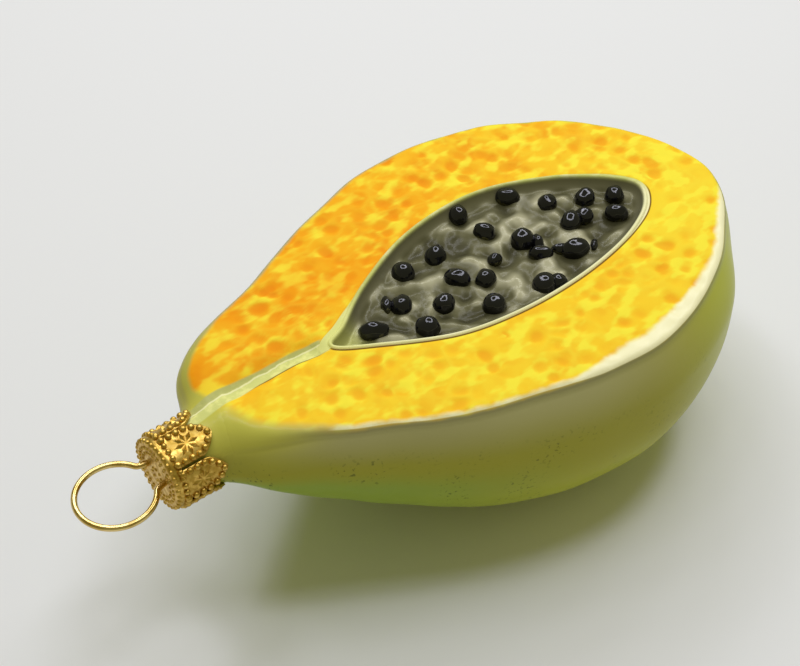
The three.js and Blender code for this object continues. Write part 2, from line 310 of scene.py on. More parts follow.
edge = edge_radius(rim.places[:, 0])
print("the rim is rounded by", round(float(edge.min()), 2), "to", round(float(edge.max()), 2), "mm")

# %% [markdown]
# The face's rings run from the middle of the hollow to the outer edge of the rim. The lip has a drawn
# profile, which rises from the floor, rounds over and dips to a fine channel before the flesh. Each ring
# also carries its distance from the hollow's edge and from the rim, which the paint follows. Where no edge
# of paint is near, a large distance stands for it.

# %% Rings of the face
HOLLOW_MIDDLE = np.array([53.0, -4.5])
HOLLOW_DEPTH, HOLLOW_HALF = 1.75, 12.0
LIP_PROFILE = [
    (-2.2, -1.75), (-1.6, -1.66), (-1.1, -1.42), (-0.65, -0.98), (-0.3, -0.45), (-0.1, 0.0),
    (0.08, 0.2), (0.28, 0.26), (0.46, 0.16), (0.6, -0.02), (0.76, -0.06), (1.1, 0.0),
]
LIP_START, LIP_END = LIP_PROFILE[0][0], LIP_PROFILE[-1][0]
FAR_AWAY = 20.0


def floor_rings(count):
    inner = hollow.moved(LIP_START)
    for share in np.linspace(0, 1, count, endpoint=False):
        plan = HOLLOW_MIDDLE + (inner - HOLLOW_MIDDLE) * share
        yield ring(plan, -HOLLOW_DEPTH, LIP_START - HOLLOW_HALF * (1 - share), -FAR_AWAY)


def lip_rings(count):
    offsets, heights = np.array(LIP_PROFILE).T
    for step in np.linspace(0, len(offsets) - 1, count):
        offset = np.interp(step, range(len(offsets)), offsets)
        plan = hollow.moved(offset)
        height = np.interp(step, range(len(offsets)), heights)
        yield ring(plan, height - neck_dip(plan[:, 0]), offset, -FAR_AWAY)


def flesh_rings(count):
    inner, outer = hollow.moved(LIP_END), rim.moved(-edge)
    width = np.linalg.norm(outer - inner, axis=1)
    for share in np.linspace(0, 1, count + 1, endpoint=False)[1:]:
        plan = inner + (outer - inner) * share
        from_rim = -edge * np.pi / 4 - width * (1 - share)
        yield ring(plan, -neck_dip(plan[:, 0]), LIP_END + width * share, from_rim)


def edge_rings(count):
    for angle in np.linspace(0, np.pi / 2, count, endpoint=False):
        plan = rim.moved(-edge * (1 - math.sin(angle)))
        height = -neck_dip(plan[:, 0]) - edge * (1 - math.cos(angle))
        yield ring(plan, height, FAR_AWAY, edge * (angle - np.pi / 4))


face = [*floor_rings(50), *lip_rings(26), *flesh_rings(38), *edge_rings(10)]
print("face has", len(face), "rings of", AROUND, "points")

# %% [markdown]
# Below the rim the side swells out, less so at both ends, and at the stem it lies back under the face,
# which bends a little to the far side. The belly is a rounded bowl that shrinks towards the foot. It is
# shallower at the stem, and that difference fades out before the foot, so that the foot is flat and no step
# runs round it.

# %% Rings of the rind
BULGE, BULGE_FROM, BULGE_FULL = 3.2, 5.0, 45.0
BULGE_LOSS, BULGE_LOSS_FROM, BULGE_LOSS_FULL = 0.6, 76.0, 92.0
STEM_BEND, STEM_BEND_REACH = 3.1, 27.0
FULLNESS, FOOT_SHARE, FOOT_BLEND = 2.7, 0.25, 0.5
BELLY_LENGTH, FOOT_FROM_RIM = 30.0, 40.0


def belt_plan(share):
    x, eased = rim.places[:, 0], 1 - (1 - share) ** 2
    bulge = BULGE * smoothstep(x, BULGE_FROM, BULGE_FULL) * (
        1 - BULGE_LOSS * smoothstep(x, BULGE_LOSS_FROM, BULGE_LOSS_FULL))
    plan = rim.moved(bulge * eased)
    plan[:, 1] -= STEM_BEND * eased * np.maximum(0, 1 - x / STEM_BEND_REACH)
    return plan


def belt_rings(count):
    for share in np.linspace(0, 1, count, endpoint=False):
        plan = belt_plan(share)
        top = -neck_dip(plan[:, 0]) - edge
        height = top + (belt_height(plan[:, 0]) - top) * share
        yield ring(plan, height, FAR_AWAY, edge * np.pi / 4 + SIDE_DEPTH * share)


def belly_rings(count):
    belt = belt_plan(1)
    last = math.acos(FOOT_SHARE ** (FULLNESS / 2))
    for angle in np.linspace(0, last, count, endpoint=False):
        reach = math.cos(angle) ** (2 / FULLNESS)
        plan = (belt - (FOOT_X, 0)) * reach + (FOOT_X, 0)
        rise = (1 - depth_share(plan[:, 0])) * smoothstep(reach, FOOT_SHARE, FOOT_BLEND)
        top, bottom = belt_height(plan[:, 0]), -RIND_DEPTH * (1 - rise)
        height = top + (bottom - top) * math.sin(angle) ** (2 / FULLNESS)
        from_rim = edge * np.pi / 4 + SIDE_DEPTH + BELLY_LENGTH * math.sin(angle)
        yield ring(plan, height, FAR_AWAY, from_rim)
    for share in (FOOT_SHARE, FOOT_SHARE / 2, 0):
        plan = (belt - (FOOT_X, 0)) * share + (FOOT_X, 0)
        yield ring(plan, -RIND_DEPTH, FAR_AWAY, FOOT_FROM_RIM)


skin = np.array([*face, *belt_rings(14), *belly_rings(44)])
print("skin has", len(skin), "rings")

# %% [markdown]
# ### Relief in the skin
#
# The flesh is covered in shallow round pits a few millimetres across, with soft ridges between some of
# them. Cell noise gives both: a point close to the middle of its cell is in a pit, and a point about as far
# from two middles is on a ridge. A groove runs from the hollow's tip to the stem. The hollow's floor is
# lumpier, like wet pulp, in soft mounds. All of it is in the mesh, not only in the material, so that it
# holds up from close by. The noise that warps the cells is seeded, so every run gives the same pits.

# %% Relief
PIT_SIZE, PIT_LAYER, PIT_DEPTH, PIT_FADE = 3.1, 7.3, 0.34, (0.38, 0.85)
RIDGE_RISE, RIDGE_FADE, RIDGE_PATCH, RIDGE_LAYER = 0.1, (0.72, 1.0), 9, 3.1
CELL_WARP_SIZE, CELL_WARP, CELL_WEIGHT_STEP = 0.8, 0.3, 5.7
FLESH_FROM_LIP, FLESH_FROM_RIM, FLESH_FROM_STEM = (1.3, 3.0), (-0.4, 1.2), (5, 13)
NOISE_SEED, HOLLOW_STEM_X = 3, 22.8
GROOVE_DEPTH, GROOVE_HALF, GROOVE_DRIFT, GROOVE_FADE = 1.1, 2.0, 2.2, 0.15
GROOVE_FROM_LIP, GROOVE_TO_RIM = (0, 1.2), (-1.2, 0.3)
PULP_SIZE, PULP_LAYER, PULP_RISE, PULP_LEVEL = 2.5, 2.6, 0.95, 0.4
PULP_RIPPLE, PULP_RIPPLE_STEP, PULP_EDGE, PULP_FADE = 0.03, 2.3, 0.66, (0.7, 2.6)


def cells(x, y, size, layer):
    """Nearness to the middle of the cell, nearness to its border, and a random weight of the cell."""
    place = Vector((x / size, y / size, layer))
    place += noise.noise_vector(place * CELL_WARP_SIZE) * CELL_WARP
    (near, second, *_), (middle, *_) = noise.voronoi(place)
    return 1 - near, 1 - (second - near), 0.5 + 0.5 * noise.noise(middle * CELL_WEIGHT_STEP)


def groove_across(x, y):
    """Millimetres from the middle of the stem groove, and how far along the stem the place is."""
    stem = np.clip(1 - x / HOLLOW_STEM_X, 0, 1)
    return y - GROOVE_DRIFT * smoothstep(stem, -0.25, 0.3), smoothstep(stem, 0, GROOVE_FADE)


def add_flesh_relief(skin):
    """Moves the skin's points, and returns how deep in a pit and how high on a ridge each is."""
    x, y, z, from_hollow, from_rim = np.moveaxis(skin, 2, 0)
    pit, ridge = np.zeros((2, *x.shape))
    on_flesh = smoothstep(from_hollow, *FLESH_FROM_LIP) * smoothstep(-from_rim, *FLESH_FROM_RIM)
    on_flesh = on_flesh * smoothstep(x, *FLESH_FROM_STEM)
    across, on_stem = groove_across(x, y)
    in_groove = on_stem * np.exp(-((across / GROOVE_HALF) ** 2))
    for at in zip(*np.nonzero(on_flesh > 0)):
        middle, border, weight = cells(x[at], y[at], PIT_SIZE, PIT_LAYER)
        patch = noise.noise(Vector((x[at] / RIDGE_PATCH, y[at] / RIDGE_PATCH, RIDGE_LAYER)))
        pit[at] = smoothstep(middle, *PIT_FADE) * weight
        ridge[at] = smoothstep(border, *RIDGE_FADE) * (0.5 + 0.9 * patch)
    z += (RIDGE_RISE * ridge - PIT_DEPTH * pit) * on_flesh * (1 - in_groove)
    z -= GROOVE_DEPTH * in_groove * (
        smoothstep(from_hollow, *GROOVE_FROM_LIP) * smoothstep(-from_rim, *GROOVE_TO_RIM))
    return pit * on_flesh, ridge * on_flesh


def add_pulp_relief(skin):
    """Raises the mounds of the hollow's floor, and returns how high in them each point is."""
    x, y, z, from_hollow, _ = np.moveaxis(skin, 2, 0)
    pulp = np.zeros(x.shape)
    on_pulp = smoothstep(-from_hollow, *PULP_FADE)
    for at in zip(*np.nonzero(on_pulp > 0)):
        place = Vector((x[at] / PULP_SIZE, y[at] / PULP_SIZE, PULP_LAYER))
        ripple = noise.noise(place * PULP_RIPPLE_STEP)
        pulp[at] = 0.5 + 0.8 * noise.noise(place) + PULP_RIPPLE * ripple
    z += on_pulp * PULP_RISE * (pulp - PULP_LEVEL)
    return PULP_EDGE + (pulp - PULP_EDGE) * on_pulp


noise.seed_set(NOISE_SEED)
pit, ridge = add_flesh_relief(skin)
pulp = add_pulp_relief(skin)
print("deepest pit", round(PIT_DEPTH * float(pit.max()), 2), "mm, highest pulp", round(float(pulp.max()), 2))

# %% [markdown]
# Near the neck the skin swells, as hot glass does where a tube joins it. A bevel would need an edge where
# the two cross. Instead each point moves out until it lies on the one surface that flows from the fruit's
# skin into the tube's, which a formula gives from the two distances.

# %% Swelling at the neck
AXIS_HEIGHT, NECK_RADIUS, NECK_ROOT, NECK_ZONE = -6.05, 4.7, 4.0, 20.0
FILLET, FILLET_LIMIT, JOIN_TUCK = 4.5, 1.5, 0.15
FILLET_STEPS, FILLET_EASE = 14, 0.7


def neck_gap(x, y, z):
    """Millimetres outside the neck's tube, or less than 0 inside it."""
    out, beyond = np.hypot(y, z - AXIS_HEIGHT) - NECK_RADIUS, x - NECK_ROOT
    return np.hypot(np.maximum(out, 0), np.maximum(beyond, 0)) + np.minimum(np.maximum(out, beyond), 0)


def joined(a, b):
    """Distance to the surface in which two others, at distances a and b, flow into each other."""
    return np.minimum(a, b) - np.maximum(FILLET - np.abs(a - b), 0) ** 2 / (4 * FILLET)


def swell(other_gap):
    """How far a surface moves out to the joined one, and under the other's skin where that is nearer."""
    out = np.zeros_like(other_gap(0.0))
    for _ in range(FILLET_STEPS):
        out = np.clip(out - FILLET_EASE * joined(out, other_gap(out)), 0, FILLET_LIMIT)
    return out - JOIN_TUCK * np.clip(out - other_gap(out), 0, 1)


def swell_at_neck(skin):
    """Moves the skin out near the neck, and returns the outward directions it had before."""
    places = skin[:, :, :3]
    around = np.roll(places, -1, 1) - np.roll(places, 1, 1)
    outward = np.cross(np.gradient(places, axis=0), around)
    outward /= np.linalg.norm(outward, axis=2, keepdims=True) + 1e-9
    near = places[:, :, 0] < NECK_ZONE
    at, way = places[near].T, outward[near].T
    places[near] += (way * swell(lambda out: neck_gap(*(at + way * out)))).T
    return outward


bare = skin[:, :, :3].copy()
bare_outward = swell_at_neck(skin)
print("skin swells by up to", round(float(np.abs(skin[:, :, :3] - bare).max()), 2), "mm at the neck")

# %% [markdown]
# A flat grid is rolled up into the skin: its rows become the rings, its two sides are merged into a seam,
# and its first and last rows shrink to points. The values that the paint needs go on the mesh as
# attributes: where the edges of the colours run, in millimetres, and how deep the relief is.

# %% The fruit's mesh
BAND_THIN, BAND_GAIN, BAND_LOSS = 0.45, 2.1, 0.6
BAND_NEAR, BAND_STARTS, BAND_WIDENS, BAND_NARROWS = (0.4, 0.75), (11.5, 14), (42, 58), (64, 84)


def finished(bm, name, smooth=True):
    """A mesh object at the origin that rides on the one body."""
    mesh = bpy.data.meshes.new(name)
    for face in bm.faces:
        face.smooth = smooth
    bm.to_mesh(mesh)
    bm.free()
    piece = bpy.data.objects.new(name, mesh)
    bpy.context.collection.objects.link(piece)
    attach(piece, "root")
    return piece


def set_masks(piece, **masks):
    for name, values in masks.items():
        layer = piece.data.attributes.new(name, "FLOAT", "POINT")
        layer.data.foreach_set("value", np.broadcast_to(values, len(piece.data.vertices)).astype(np.float32))


def rim_width(x, outward_y):
    """Width of the cream band, in part a painted highlight: thin near, wide at the blossom end, none on the
    far side.
    """
    near = smoothstep(-outward_y, *BAND_NEAR) * smoothstep(x, *BAND_STARTS)
    wide = smoothstep(x, *BAND_WIDENS) * (1 - BAND_LOSS * smoothstep(x, *BAND_NARROWS))
    return near * (BAND_THIN + BAND_GAIN * wide)


def skin_piece():
    bm = bmesh.new()
    bmesh.ops.create_grid(bm, x_segments=AROUND, y_segments=len(skin) - 1, size=1.0)
    flat = np.array([vert.co for vert in bm.verts])
    row = np.rint((flat[:, 1] + 1) / 2 * (len(skin) - 1)).astype(int)
    step = np.rint((flat[:, 0] + 1) / 2 * AROUND).astype(int) % AROUND
    number = bm.verts.layers.int.new("number")
    for vert, place, index in zip(bm.verts, skin[row, step, :3], row * AROUND + step):
        vert.co = in_frame(*place)
        vert[number] = int(index)
    bmesh.ops.remove_doubles(bm, verts=bm.verts[:], dist=1e-7)
    bmesh.ops.recalc_face_normals(bm, faces=bm.faces[:])
    piece = finished(bm, "fruit_skin")
    numbers = np.zeros(len(piece.data.vertices), np.int32)
    piece.data.attributes["number"].data.foreach_get("value", numbers)
    piece.data.attributes.remove(piece.data.attributes["number"])
    across, on_stem = groove_across(skin[:, :, 0], skin[:, :, 1])
    masks = {
        "pit": pit, "ridge": ridge, "pulp": pulp, "from_hollow": skin[:, :, 3], "from_rim": skin[:, :, 4],
        "rim_width": rim_width(rim.places[:, 0], rim.outward[:, 1]), "near_lip": -hollow.outward[:, 1],
        "across": across, "on_stem": on_stem * (skin[:, :, 3] > 0),
    }
    for name, mask in masks.items():
        set_masks(piece, **{name: np.broadcast_to(mask, pit.shape).ravel()[numbers]})
    return piece


fruit_skin = skin_piece()
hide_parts("glass_fruit")
print("fruit skin:", len(fruit_skin.data.polygons), "faces")

# %% [markdown]
# ### Painting the glass
#
# The colours are laid on in the order a painter would use: first the rind, then the flesh, the cream rim
# with its painted highlight, the stem groove, the lip and the pulp. The masks read places along and across
# the fruit in metres, and distances from the rim and the hollow in millimetres. The rind is olive, with a
# painted grey reflection under the rim and a painted shadow line just below the rim's crest. Low down it
# turns a lighter green, which is a painted reflection of the floor; it is greener at the blossom end too,
# pale where it meets the cap, and sprinkled with dark specks.

# %% Rind paint
# The grey is a painted reflection under the rim, and the dark shade colour a painted shadow line just below
# it.
RIND_REFLECTION_GREY, RIM_SHADOW_COLOUR = (0.47, 0.44, 0.20), (0.27, 0.24, 0.12)
RIND_OLIVE, RIND_GREEN = (0.42, 0.395, 0.04), (0.56, 0.60, 0.075)
STEM_GREEN, STEM_PALE, SPECK = (0.30, 0.43, 0.06), (0.62, 0.59, 0.095), (0.03, 0.06, 0.01)


def rind_colour(paint, along, sideways, from_rim):
    # Lighter green low down is a painted reflection of the floor; the green at the blossom end is paint.
    low = paint.fade(from_rim, 9.0, 26.0)
    low = paint.times(low, paint.fade(paint.clouds(18), 0.3, 0.6, 0.6, 1.0))
    low = paint.maths("MAXIMUM", low, paint.fade(along, 0.055, 0.085, 0.0, 0.9))
    colour = paint.mix(low, RIND_OLIVE, RIND_GREEN)
    # Painted grey reflection under the rim, faded out towards the blossom end and the stem.
    grey = paint.fade(from_rim, 1.2, 9.0, 1.0, 0.0)
    grey = paint.times(grey, paint.fade(along, 0.045, 0.078, 1.0, 0.1))
    grey = paint.times(grey, paint.fade(along, 0.002, 0.014, 0.25, 1.0))
    colour = paint.mix(grey, colour, RIND_REFLECTION_GREY)
    # A painted shadow line just below the rim's crest.
    under = paint.times(paint.band(from_rim, 0.25, 0.15, 0.5), 0.55)
    colour = paint.mix(under, colour, RIM_SHADOW_COLOUR)
    stem = paint.times(paint.fade(along, 0.016, 0.050, 0.85, 0.0), paint.fade(from_rim, 8.0, 14.0))
    colour = paint.mix(stem, colour, STEM_GREEN)
    specks = paint.times(paint.fade(paint.clouds(0.6, 1.0), 0.60, 0.70), paint.fade(from_rim, 3.0, 9.0))
    specks = paint.times(specks, paint.fade(paint.clouds(8), 0.45, 0.65))
    specks = paint.times(specks, paint.fade(along, 0.025, 0.060, 0.6, 0.2))
    colour = paint.mix(specks, colour, SPECK)
    pale_end = paint.fade(along, 0.003, 0.016, 1.0, 0.0)
    pale_end = paint.times(pale_end, paint.fade(from_rim, 0.0, 4.0, 1.0, 0.0))
    pale_end = paint.times(pale_end, paint.fade(sideways, 0.003, 0.008, 0.9, 0.4))
    return paint.mix(pale_end, colour, STEM_PALE)


print("rind paint ready")

# %% [markdown]
# The flesh is yellow, warmer on the far side and towards the stem. Orange gathers in the pits, as thin
# paint does in hollows, and lemon patches lie between them. The pits and ridges come from the mesh as
# attributes, so the colour sits exactly where the relief is.

# %% Flesh paint
FLESH_LEMON, FLESH_YELLOW = (1.0, 0.84, 0.05), (1.0, 0.645, 0.024)
FLESH_WARM, FLESH_ORANGE = (0.97, 0.37, 0.006), (0.89, 0.255, 0.004)


def flesh_colour(paint, along, sideways):
    pit, ridge = paint.attribute("pit"), paint.attribute("ridge")
    far = paint.fade(sideways, -0.003, 0.009)
    warm = paint.times(far, paint.fade(along, 0.030, 0.080, 1.0, 0.3))
    warm = paint.times(warm, paint.fade(paint.clouds(7), 0.35, 0.65, 0.65, 1.0))
    colour = paint.mix(warm, FLESH_YELLOW, FLESH_WARM)
    haze = paint.times(paint.fade(paint.clouds(4.5, 2.0), 0.45, 0.68), paint.blend(far, 0.2, 0.5))
    orange = paint.times(paint.fade(pit, 0.0, 0.75), paint.fade(paint.clouds(10), 0.35, 0.65, 0.6, 1.0))
    orange = paint.maths("MAXIMUM", paint.times(orange, paint.blend(warm, 0.6, 1.0)), haze)
    colour = paint.mix(orange, colour, FLESH_ORANGE)
    streaks = paint.fade(paint.clouds(2.6, 2.0, (0.6, 1.0, 1.0)), 0.46, 0.64)
    lemon = paint.times(streaks, paint.blend(warm, 1.0, 0.5))
    lemon = paint.plus(lemon, paint.times(ridge, 0.4))
    light = paint.fade(along, 0.060, 0.085, 0.0, 0.35)
    lemon = paint.plus(lemon, paint.times(light, paint.fade(sideways, 0.0, 0.018, 1.0, 0.0)))
    lemon = paint.times(lemon, paint.fade(pit, 0.05, 0.5, 1.0, 0.1))
    return paint.mix(lemon, colour, FLESH_LEMON)


print("flesh paint ready")

# %% [markdown]
# Two masks part the face from the rind. The flesh ends at the rim in a brushed, slightly rough line, which
# draws in and softens towards the stem. The cream band lies along the near rim: rough towards the flesh,
# and sharp towards the rind. It is cream paint, and along the near rim it is partly a painted highlight.

# %% Edge of the flesh
# Cream paint, also used for painted highlights along the near rim and in the groove.
CREAM_AND_HIGHLIGHT = (1.0, 0.95, 0.58)


def flesh_mask(paint, along, sideways, from_rim, rough_edge):
    edge = paint.plus(from_rim, paint.times(rough_edge, 0.4))
    bare_end = paint.times(
        paint.fade(along, 0.002, 0.016, 2.4, 0.0), paint.fade(sideways, 0.003, 0.007, 1.0, 0.45))
    edge = paint.plus(edge, paint.fade(sideways, 0.004, 0.012, 0.0, 0.4))
    soft_end = paint.times(
        paint.fade(along, 0.010, 0.020, 2.2, 0.0), paint.fade(sideways, 0.0, 0.004, 1.0, 0.0))
    edge = paint.maths("DIVIDE", paint.plus(edge, bare_end), paint.plus(soft_end, 1.0))
    return paint.fade(edge, -0.6, 0.4, 1.0, 0.0)


def cream_mask(paint, from_rim, rough_edge):
    # Cream paint, and along the near rim a painted highlight on the rim's crest.
    width = paint.attribute("rim_width")
    inner = paint.plus(paint.plus(from_rim, width), paint.times(rough_edge, 0.9))
    outer = paint.minus(from_rim, paint.fade(width, 0.6, 1.6, 0.0, 0.25))
    cream = paint.times(paint.fade(inner, -0.6, 0.5), paint.fade(outer, -0.2, 0.0, 1.0, 0.0))
    return paint.times(cream, paint.fade(width, 0.05, 0.4))


print("masks of the flesh and the rim ready")

# %% [markdown]
# The groove is pale and mottled with green, with painted shade on its far side and a painted cream highlight
# beside that. The lip is cream on the near side and pale green on the far side, wider at both tips of the
# hollow. A fine brown line of painted shadow follows the groove and the near lip.

# %% Groove and lip paint
# The brown is a painted shadow line along the groove and outside the near lip.
LIP_GREEN, SHADOW_LINE_BROWN = (0.60, 0.63, 0.19), (0.20, 0.10, 0.012)
# The groove's olive is painted shade on its far wall; in the pulp it is also the olive of the hollow's tip.
GROOVE_PALE, GROOVE_OLIVE = (0.86, 0.85, 0.30), (0.42, 0.42, 0.13)


def groove_colours(paint, colour, along, from_rim, rough_edge):
    across, on_stem = paint.attribute("across"), paint.attribute("on_stem")
    wide = paint.plus(paint.fade(along, 0.003, 0.012, 0.6, 0.0), paint.fade(along, 0.015, 0.0225, 0.0, 0.2))
    groove = paint.fade(paint.minus(paint.maths("ABSOLUTE", across), wide), 0.95, 1.3, 1.0, 0.0)
    groove = paint.times(groove, paint.fade(on_stem, 0.02, 0.3))
    groove = paint.times(groove, paint.fade(from_rim, 1.0, 3.5, 1.0, 0.0))
    # Painted shadow line along the groove's near edge.
    line = paint.times(paint.band(across, -1.2, 0.08, 0.2), paint.fade(on_stem, 0.3, 0.9))
    line = paint.times(line, paint.fade(along, 0.003, 0.012))
    line = paint.times(line, paint.fade(from_rim, 0.0, 1.0, 1.0, 0.0))
    colour = paint.mix(line, colour, SHADOW_LINE_BROWN)
    pale = paint.mix(paint.fade(paint.clouds(1.2, 3.0), 0.42, 0.66, 0.35, 0.95), LIP_GREEN, GROOVE_PALE)
    wander = paint.plus(across, paint.times(rough_edge, 0.5))
    # Painted shade on the groove's far wall.
    pale = paint.mix(paint.fade(wander, 0.45, 0.7, 0.0, 0.65), pale, GROOVE_OLIVE)
    # A painted cream highlight beside the shaded wall.
    pale = paint.mix(paint.times(paint.band(wander, 0.42, 0.05, 0.14), 0.6), pale, CREAM_AND_HIGHLIGHT)
    return paint.mix(groove, colour, pale)


def lip_colours(paint, colour, along, from_hollow):
    near = paint.fade(paint.attribute("near_lip"), 0.0, 0.6)
    wide = paint.times(paint.fade(along, 0.022, 0.032, 1.4, 0.0), paint.fade(near, 0.0, 0.5, 1.0, 0.0))
    wide = paint.plus(wide, paint.fade(along, 0.070, 0.081, 0.0, 0.35))
    from_lip = paint.minus(from_hollow, wide)
    # Painted shadow line just outside the lip, strongest on the near side.
    line = paint.times(paint.band(from_lip, 0.68, 0.05, 0.18), paint.blend(near, 0.1, 1.0))
    colour = paint.mix(line, colour, SHADOW_LINE_BROWN)
    lip = paint.mix(paint.times(near, 0.75), LIP_GREEN, CREAM_AND_HIGHLIGHT)
    lip = paint.mix(paint.fade(paint.clouds(2.5), 0.45, 0.7, 0.0, 0.4), lip, CREAM_AND_HIGHLIGHT)
    lip = paint.mix(paint.fade(along, 0.024, 0.034, 0.7, 0.0), lip, GROOVE_PALE)
    return paint.mix(paint.fade(from_lip, 0.5, 0.64, 1.0, 0.0), colour, lip)


print("groove and lip paint ready")

# %% [markdown]
# The pulp is left nearly bare, so the silvering inside the glass shows through, with painted shade between
# the mounds and a painted highlight on top of them. Then the layers are stacked, and the gloss is set. The
# flesh paint is matt, the rind has a thin clear coat, and the pulp shines a little like metal.

# %% Painted glass
# The dark colour is painted shade in the valleys between the mounds, and also a tone of the bare glass on the
# seeds. The silver is the silvered glass with a painted highlight on the mound tops.
PULP_DARK, PULP_OLIVE, PULP_SILVER_AND_HIGHLIGHT = (0.06, 0.056, 0.025), (0.115, 0.108, 0.05), (0.38, 0.36, 0.22)
ROUGH_EDGE = 1.6


def pulp_colour(paint, along):
    height = paint.attribute("pulp")
    # Painted shade in the valleys and a painted highlight on the mound tops.
    silver_and_shading = paint.mix(paint.fade(height, 0.05, 0.45), PULP_DARK, PULP_OLIVE)
    silver_and_shading = paint.mix(paint.fade(height, 0.46, 1.0), silver_and_shading, PULP_SILVER_AND_HIGHLIGHT)
    return paint.mix(paint.fade(along, 0.0255, 0.030, 0.9, 0.0), silver_and_shading, GROOVE_OLIVE)


def painted_glass():
    paint = Finish("painted_glass")
    from_hollow, from_rim = paint.attribute("from_hollow"), paint.attribute("from_rim")
    place = paint.node("ShaderNodeSeparateXYZ")
    paint.feed(place.inputs[0], paint.object_place)
    along, sideways = paint.minus(place.outputs["X"], FRUIT_ORIGIN.x), place.outputs["Y"]
    rough_edge = paint.times(paint.minus(paint.clouds(2.6), 0.5), ROUGH_EDGE)
    flesh = flesh_mask(paint, along, sideways, from_rim, rough_edge)
    cream = cream_mask(paint, from_rim, rough_edge)
    pulp = paint.fade(from_hollow, -0.3, 0.1, 1.0, 0.0)

    colour = rind_colour(paint, along, sideways, from_rim)
    colour = paint.mix(flesh, colour, flesh_colour(paint, along, sideways))
    colour = paint.mix(cream, colour, CREAM_AND_HIGHLIGHT)
    colour = groove_colours(paint, colour, along, from_rim, rough_edge)
    colour = lip_colours(paint, colour, along, from_hollow)
    colour = paint.mix(pulp, colour, pulp_colour(paint, along))

    matt = paint.times(flesh, paint.minus(1.0, paint.maths("MAXIMUM", pulp, cream)))
    paint.set(
        Base_Color=colour, Roughness=paint.blend(pulp, paint.blend(matt, 0.32, 0.6), 0.4),
        Metallic=paint.times(pulp, 0.3), Specular_IOR_Level=0.06, IOR=1.45,
        Coat_Weight=paint.blend(pulp, paint.blend(matt, 0.16, 0.0), 0.16), Coat_Roughness=0.16,
    )
    grain = paint.times(paint.clouds(1.0, 2.0), paint.blend(pulp, 1.0, 0.1))
    paint.bump(grain, 0.08, 0.15)
    return paint.material


painted = painted_glass()
fruit_skin.data.materials.append(painted)
print("painted glass has", len(painted.node_tree.nodes), "nodes")

# %% [markdown]
# ## The seeds
#
# The seeds are round bumps of the same glass, dabbed with black lacquer. Some stand in pairs, some are
# drawn out, and on many the lacquer missed part of the bump, so its edge is ragged and grey glass shows
# below it. Each row gives a seed's place, its size, how far it is drawn out, its turn in degrees, and how
# much the brush missed.

# %% Seeds
SEEDS = [
    (41.0, 7.0, 1.04, 1.0, 0, 0.1), (55.8, 12.0, 0.95, 1.1, 60, 0.4), (64.6, 10.4, 0.95, 1.2, -40, 0.55),
    (68.6, 5.4, 0.92, 1.0, 0, 0.5), (74.1, 2.7, 0.95, 1.1, 20, 0.35), (78.3, 0.4, 0.9, 1.0, 0, 0.25),
    (75.7, -2.9, 0.88, 1.25, -38, 0.3), (68.7, 0.0, 1.0, 1.1, 30, 0.15), (71.2, -0.3, 0.85, 1.0, 0, 0.45),
    (65.0, -5.2, 1.08, 1.2, -20, 0.2), (63.2, -3.7, 0.6, 1.4, -40, 0.6), (60.0, 1.4, 1.1, 1.05, 0, 0.15),
    (61.6, -0.3, 0.62, 1.3, 70, 0.6), (60.2, -2.7, 0.85, 1.3, -38, 0.55), (56.2, -8.1, 1.1, 1.05, 0, 0.1),
    (58.1, -9.0, 0.85, 1.0, 0, 0.2), (56.6, 6.4, 0.9, 1.2, -60, 0.55), (47.2, 6.9, 1.0, 1.1, 30, 0.5),
    (46.6, 1.0, 0.98, 1.25, -50, 0.3), (50.0, -1.7, 0.92, 1.05, 0, 0.25), (47.5, -6.7, 1.02, 1.05, 0, 0.1),
    (41.6, -2.0, 0.98, 1.05, 0, 0.2), (36.4, 1.6, 0.98, 1.0, 0, 0.3), (36.7, -4.3, 1.04, 1.05, -38, 0.3),
    (29.9, -0.1, 1.0, 1.35, -30, 0.5), (53.8, 0.7, 0.62, 1.2, 10, 0.6), (68.0, -6.2, 0.42, 1.5, 40, 0.5),
    (34.8, 3.2, 0.6, 1.5, 60, 0.75),
]
SEED_RADIUS, SEED_HEIGHT = 1.75, -1.5
LUMP, LUMP_WHERE_MISSED, LUMP_STEP = 0.07, 0.12, 1.3
BRUSH_RAGGED, BRUSH_COVER, BRUSH_MISS = 0.8, 0.9, 1.5
BRUSH_STEP, BRISTLE_STEP, BRISTLE = 1.8, 4.5, 0.5


def seed_piece():
    bm = bmesh.new()
    paint = []
    for number, (x, y, size, stretch, turn, missed) in enumerate(SEEDS):
        made = bmesh.ops.create_icosphere(bm, subdivisions=5, radius=1.0)["verts"]
        own = Vector((number * 3.7, number * 1.9, 0.0))
        for vert in made:
            lump = noise.noise(vert.co * LUMP_STEP + own)
            bristle = noise.noise(vert.co * BRISTLE_STEP + own)
            brush = noise.noise(vert.co * BRUSH_STEP - own) + BRISTLE * bristle
            paint.append(vert.co.z + BRUSH_RAGGED * brush + BRUSH_COVER - BRUSH_MISS * missed)
            vert.co *= 1 + (LUMP + LUMP_WHERE_MISSED * missed) * lump
        radius = SEED_RADIUS * size * MM
        bmesh.ops.scale(bm, vec=(radius * stretch, radius / math.sqrt(stretch), radius), verts=made)
        bmesh.ops.rotate(bm, matrix=Matrix.Rotation(math.radians(turn), 3, "Z"), verts=made)
        bmesh.ops.translate(bm, vec=in_frame(x, y, SEED_HEIGHT), verts=made)
    piece = finished(bm, "fruit_seeds")
    set_masks(piece, lacquer=np.array(paint))
    return piece


fruit_seeds = seed_piece()
print("seeds:", len(SEEDS))

# %% [markdown]
# The lacquer is thick and runs smooth, so it is black with a sharp clear coat. The mask on the mesh says
# where the brush reached. Elsewhere the bump is the same silvered glass as the pulp.

# %% Black lacquer
LACQUER_BLACK = (0.006, 0.006, 0.008)


